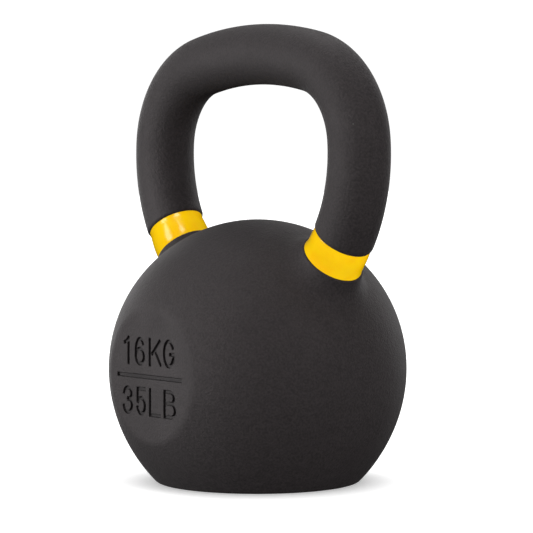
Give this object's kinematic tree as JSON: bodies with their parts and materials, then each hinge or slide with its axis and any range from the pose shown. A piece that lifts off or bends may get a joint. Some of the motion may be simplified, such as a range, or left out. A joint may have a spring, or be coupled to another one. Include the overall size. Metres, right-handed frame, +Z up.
{
  "type": "kettlebell",
  "caption": "Cast iron kettlebell: a ball with a flat foot, a looped handle, a flat pad with its weight cast in, and a colour band round each horn.",
  "frame": {"origin": "the middle of the flat foot, on the surface that the kettlebell stands on", "axes": "+Z up, +X along the grip, -Y towards the pad with the weight marking"},
  "size_m": [0.192, 0.1422, 0.2404],
  "materials": {
    "black_powder_coat": "matte",
    "yellow_enamel": "gloss"
  },
  "bodies": {
    "root": {"casting": "black_powder_coat", "left_colour_band": "yellow_enamel", "right_colour_band": "yellow_enamel"}
  },
  "joints": []
}
